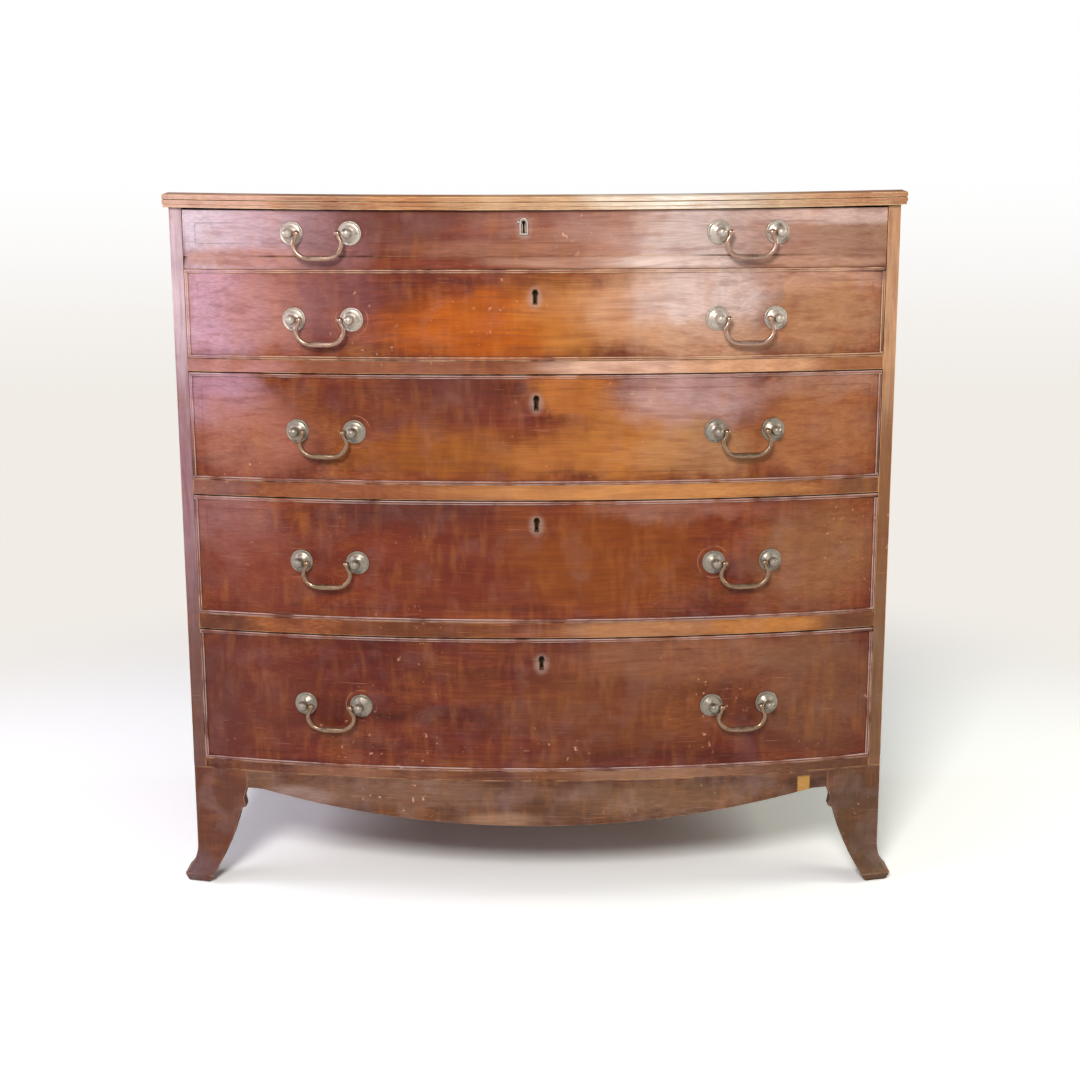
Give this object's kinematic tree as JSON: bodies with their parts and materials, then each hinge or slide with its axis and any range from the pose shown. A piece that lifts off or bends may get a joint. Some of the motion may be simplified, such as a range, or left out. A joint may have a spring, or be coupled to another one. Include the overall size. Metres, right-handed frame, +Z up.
{
  "type": "bow front chest of drawers",
  "caption": "Bow-front mahogany chest of long graduated drawers on splayed bracket feet, with swan-neck drop handles, locks and sliding dovetailed drawers.",
  "frame": {"origin": "on the floor under the centre of the bounding box", "axes": "+Z up, +X to the right when facing the drawers, the bowed front towards -Y"},
  "size_m": [1.052, 0.5339, 1.008],
  "materials": {
    "mahogany": "worn french polish over mahogany veneer",
    "pine": "bare aged pine",
    "oak": "bare aged oak",
    "brass": "aged dull brass",
    "iron": "dark wrought iron"
  },
  "bodies": {
    "carcase": {"top_board": "mahogany", "top_edge_strip": "mahogany", "side_left": "mahogany", "side_right": "mahogany", "back_boards": "pine", "bottom_board": "pine", "drawer_rails": "mahogany", "drawer_runners": "pine", "dust_boards": "pine", "drawer_stops": "pine", "apron": "mahogany", "front_feet": "mahogany", "rear_feet": "mahogany", "side_skirts": "mahogany", "foot_blocks": "pine"},
    "drawer_1": {"drawer_1_front": "mahogany", "drawer_1_linings": "oak", "drawer_1_bottom": "oak", "drawer_1_lock": "brass", "drawer_1_handle_mounts": "brass"},
    "lock_bolt_1": {"drawer_1_lock_bolt": "iron"},
    "bail_1_left": {"bail_1_left": "brass"},
    "bail_1_right": {"bail_1_right": "brass"},
    "drawer_2": {"drawer_2_front": "mahogany", "drawer_2_linings": "oak", "drawer_2_bottom": "oak", "drawer_2_beads": "mahogany", "drawer_2_lock": "brass", "drawer_2_handle_mounts": "brass"},
    "lock_bolt_2": {"drawer_2_lock_bolt": "iron"},
    "bail_2_left": {"bail_2_left": "brass"},
    "bail_2_right": {"bail_2_right": "brass"},
    "drawer_3": {"drawer_3_front": "mahogany", "drawer_3_linings": "oak", "drawer_3_bottom": "oak", "drawer_3_beads": "mahogany", "drawer_3_lock": "brass", "drawer_3_handle_mounts": "brass"},
    "lock_bolt_3": {"drawer_3_lock_bolt": "iron"},
    "bail_3_left": {"bail_3_left": "brass"},
    "bail_3_right": {"bail_3_right": "brass"},
    "drawer_4": {"drawer_4_front": "mahogany", "drawer_4_linings": "oak", "drawer_4_bottom": "oak", "drawer_4_beads": "mahogany", "drawer_4_lock": "brass", "drawer_4_handle_mounts": "brass"},
    "lock_bolt_4": {"drawer_4_lock_bolt": "iron"},
    "bail_4_left": {"bail_4_left": "brass"},
    "bail_4_right": {"bail_4_right": "brass"},
    "drawer_5": {"drawer_5_front": "mahogany", "drawer_5_linings": "oak", "drawer_5_bottom": "oak", "drawer_5_beads": "mahogany", "drawer_5_lock": "brass", "drawer_5_handle_mounts": "brass"},
    "lock_bolt_5": {"drawer_5_lock_bolt": "iron"},
    "bail_5_left": {"bail_5_left": "brass"},
    "bail_5_right": {"bail_5_right": "brass"}
  },
  "joints": [
    {"name": "drawer_1_slide", "type": "slide", "parent": "carcase", "child": "drawer_1", "axis": [0, -1, 0], "range_m": [0, 0.36]},
    {"name": "lock_bolt_1_slide", "type": "slide", "parent": "drawer_1", "child": "lock_bolt_1", "axis": [0, 0, 1], "range_m": [0, 0.008]},
    {"name": "bail_1_left_swing", "type": "hinge", "parent": "drawer_1", "child": "bail_1_left", "pos_m": [-0.29431, -0.25105, 0.9515], "axis": [-0.9879, 0.1554, 0], "range_deg": [0, 100]},
    {"name": "bail_1_right_swing", "type": "hinge", "parent": "drawer_1", "child": "bail_1_right", "pos_m": [0.29431, -0.25105, 0.9515], "axis": [-0.9879, -0.1554, 0], "range_deg": [0, 100]},
    {"name": "drawer_2_slide", "type": "slide", "parent": "carcase", "child": "drawer_2", "axis": [0, -1, 0], "range_m": [0, 0.36]},
    {"name": "lock_bolt_2_slide", "type": "slide", "parent": "drawer_2", "child": "lock_bolt_2", "axis": [0, 0, 1], "range_m": [0, 0.008]},
    {"name": "bail_2_left_swing", "type": "hinge", "parent": "drawer_2", "child": "bail_2_left", "pos_m": [-0.29431, -0.25105, 0.835], "axis": [-0.9879, 0.1554, 0], "range_deg": [0, 100]},
    {"name": "bail_2_right_swing", "type": "hinge", "parent": "drawer_2", "child": "bail_2_right", "pos_m": [0.29431, -0.25105, 0.835], "axis": [-0.9879, -0.1554, 0], "range_deg": [0, 100]},
    {"name": "drawer_3_slide", "type": "slide", "parent": "carcase", "child": "drawer_3", "axis": [0, -1, 0], "range_m": [0, 0.36]},
    {"name": "lock_bolt_3_slide", "type": "slide", "parent": "drawer_3", "child": "lock_bolt_3", "axis": [0, 0, 1], "range_m": [0, 0.008]},
    {"name": "bail_3_left_swing", "type": "hinge", "parent": "drawer_3", "child": "bail_3_left", "pos_m": [-0.29431, -0.25105, 0.68], "axis": [-0.9879, 0.1554, 0], "range_deg": [0, 100]},
    {"name": "bail_3_right_swing", "type": "hinge", "parent": "drawer_3", "child": "bail_3_right", "pos_m": [0.29431, -0.25105, 0.68], "axis": [-0.9879, -0.1554, 0], "range_deg": [0, 100]},
    {"name": "drawer_4_slide", "type": "slide", "parent": "carcase", "child": "drawer_4", "axis": [0, -1, 0], "range_m": [0, 0.36]},
    {"name": "lock_bolt_4_slide", "type": "slide", "parent": "drawer_4", "child": "lock_bolt_4", "axis": [0, 0, 1], "range_m": [0, 0.008]},
    {"name": "bail_4_left_swing", "type": "hinge", "parent": "drawer_4", "child": "bail_4_left", "pos_m": [-0.29431, -0.25105, 0.494], "axis": [-0.9879, 0.1554, 0], "range_deg": [0, 100]},
    {"name": "bail_4_right_swing", "type": "hinge", "parent": "drawer_4", "child": "bail_4_right", "pos_m": [0.29431, -0.25105, 0.494], "axis": [-0.9879, -0.1554, 0], "range_deg": [0, 100]},
    {"name": "drawer_5_slide", "type": "slide", "parent": "carcase", "child": "drawer_5", "axis": [0, -1, 0], "range_m": [0, 0.36]},
    {"name": "lock_bolt_5_slide", "type": "slide", "parent": "drawer_5", "child": "lock_bolt_5", "axis": [0, 0, 1], "range_m": [0, 0.008]},
    {"name": "bail_5_left_swing", "type": "hinge", "parent": "drawer_5", "child": "bail_5_left", "pos_m": [-0.29431, -0.25105, 0.284], "axis": [-0.9879, 0.1554, 0], "range_deg": [0, 100]},
    {"name": "bail_5_right_swing", "type": "hinge", "parent": "drawer_5", "child": "bail_5_right", "pos_m": [0.29431, -0.25105, 0.284], "axis": [-0.9879, -0.1554, 0], "range_deg": [0, 100]}
  ]
}
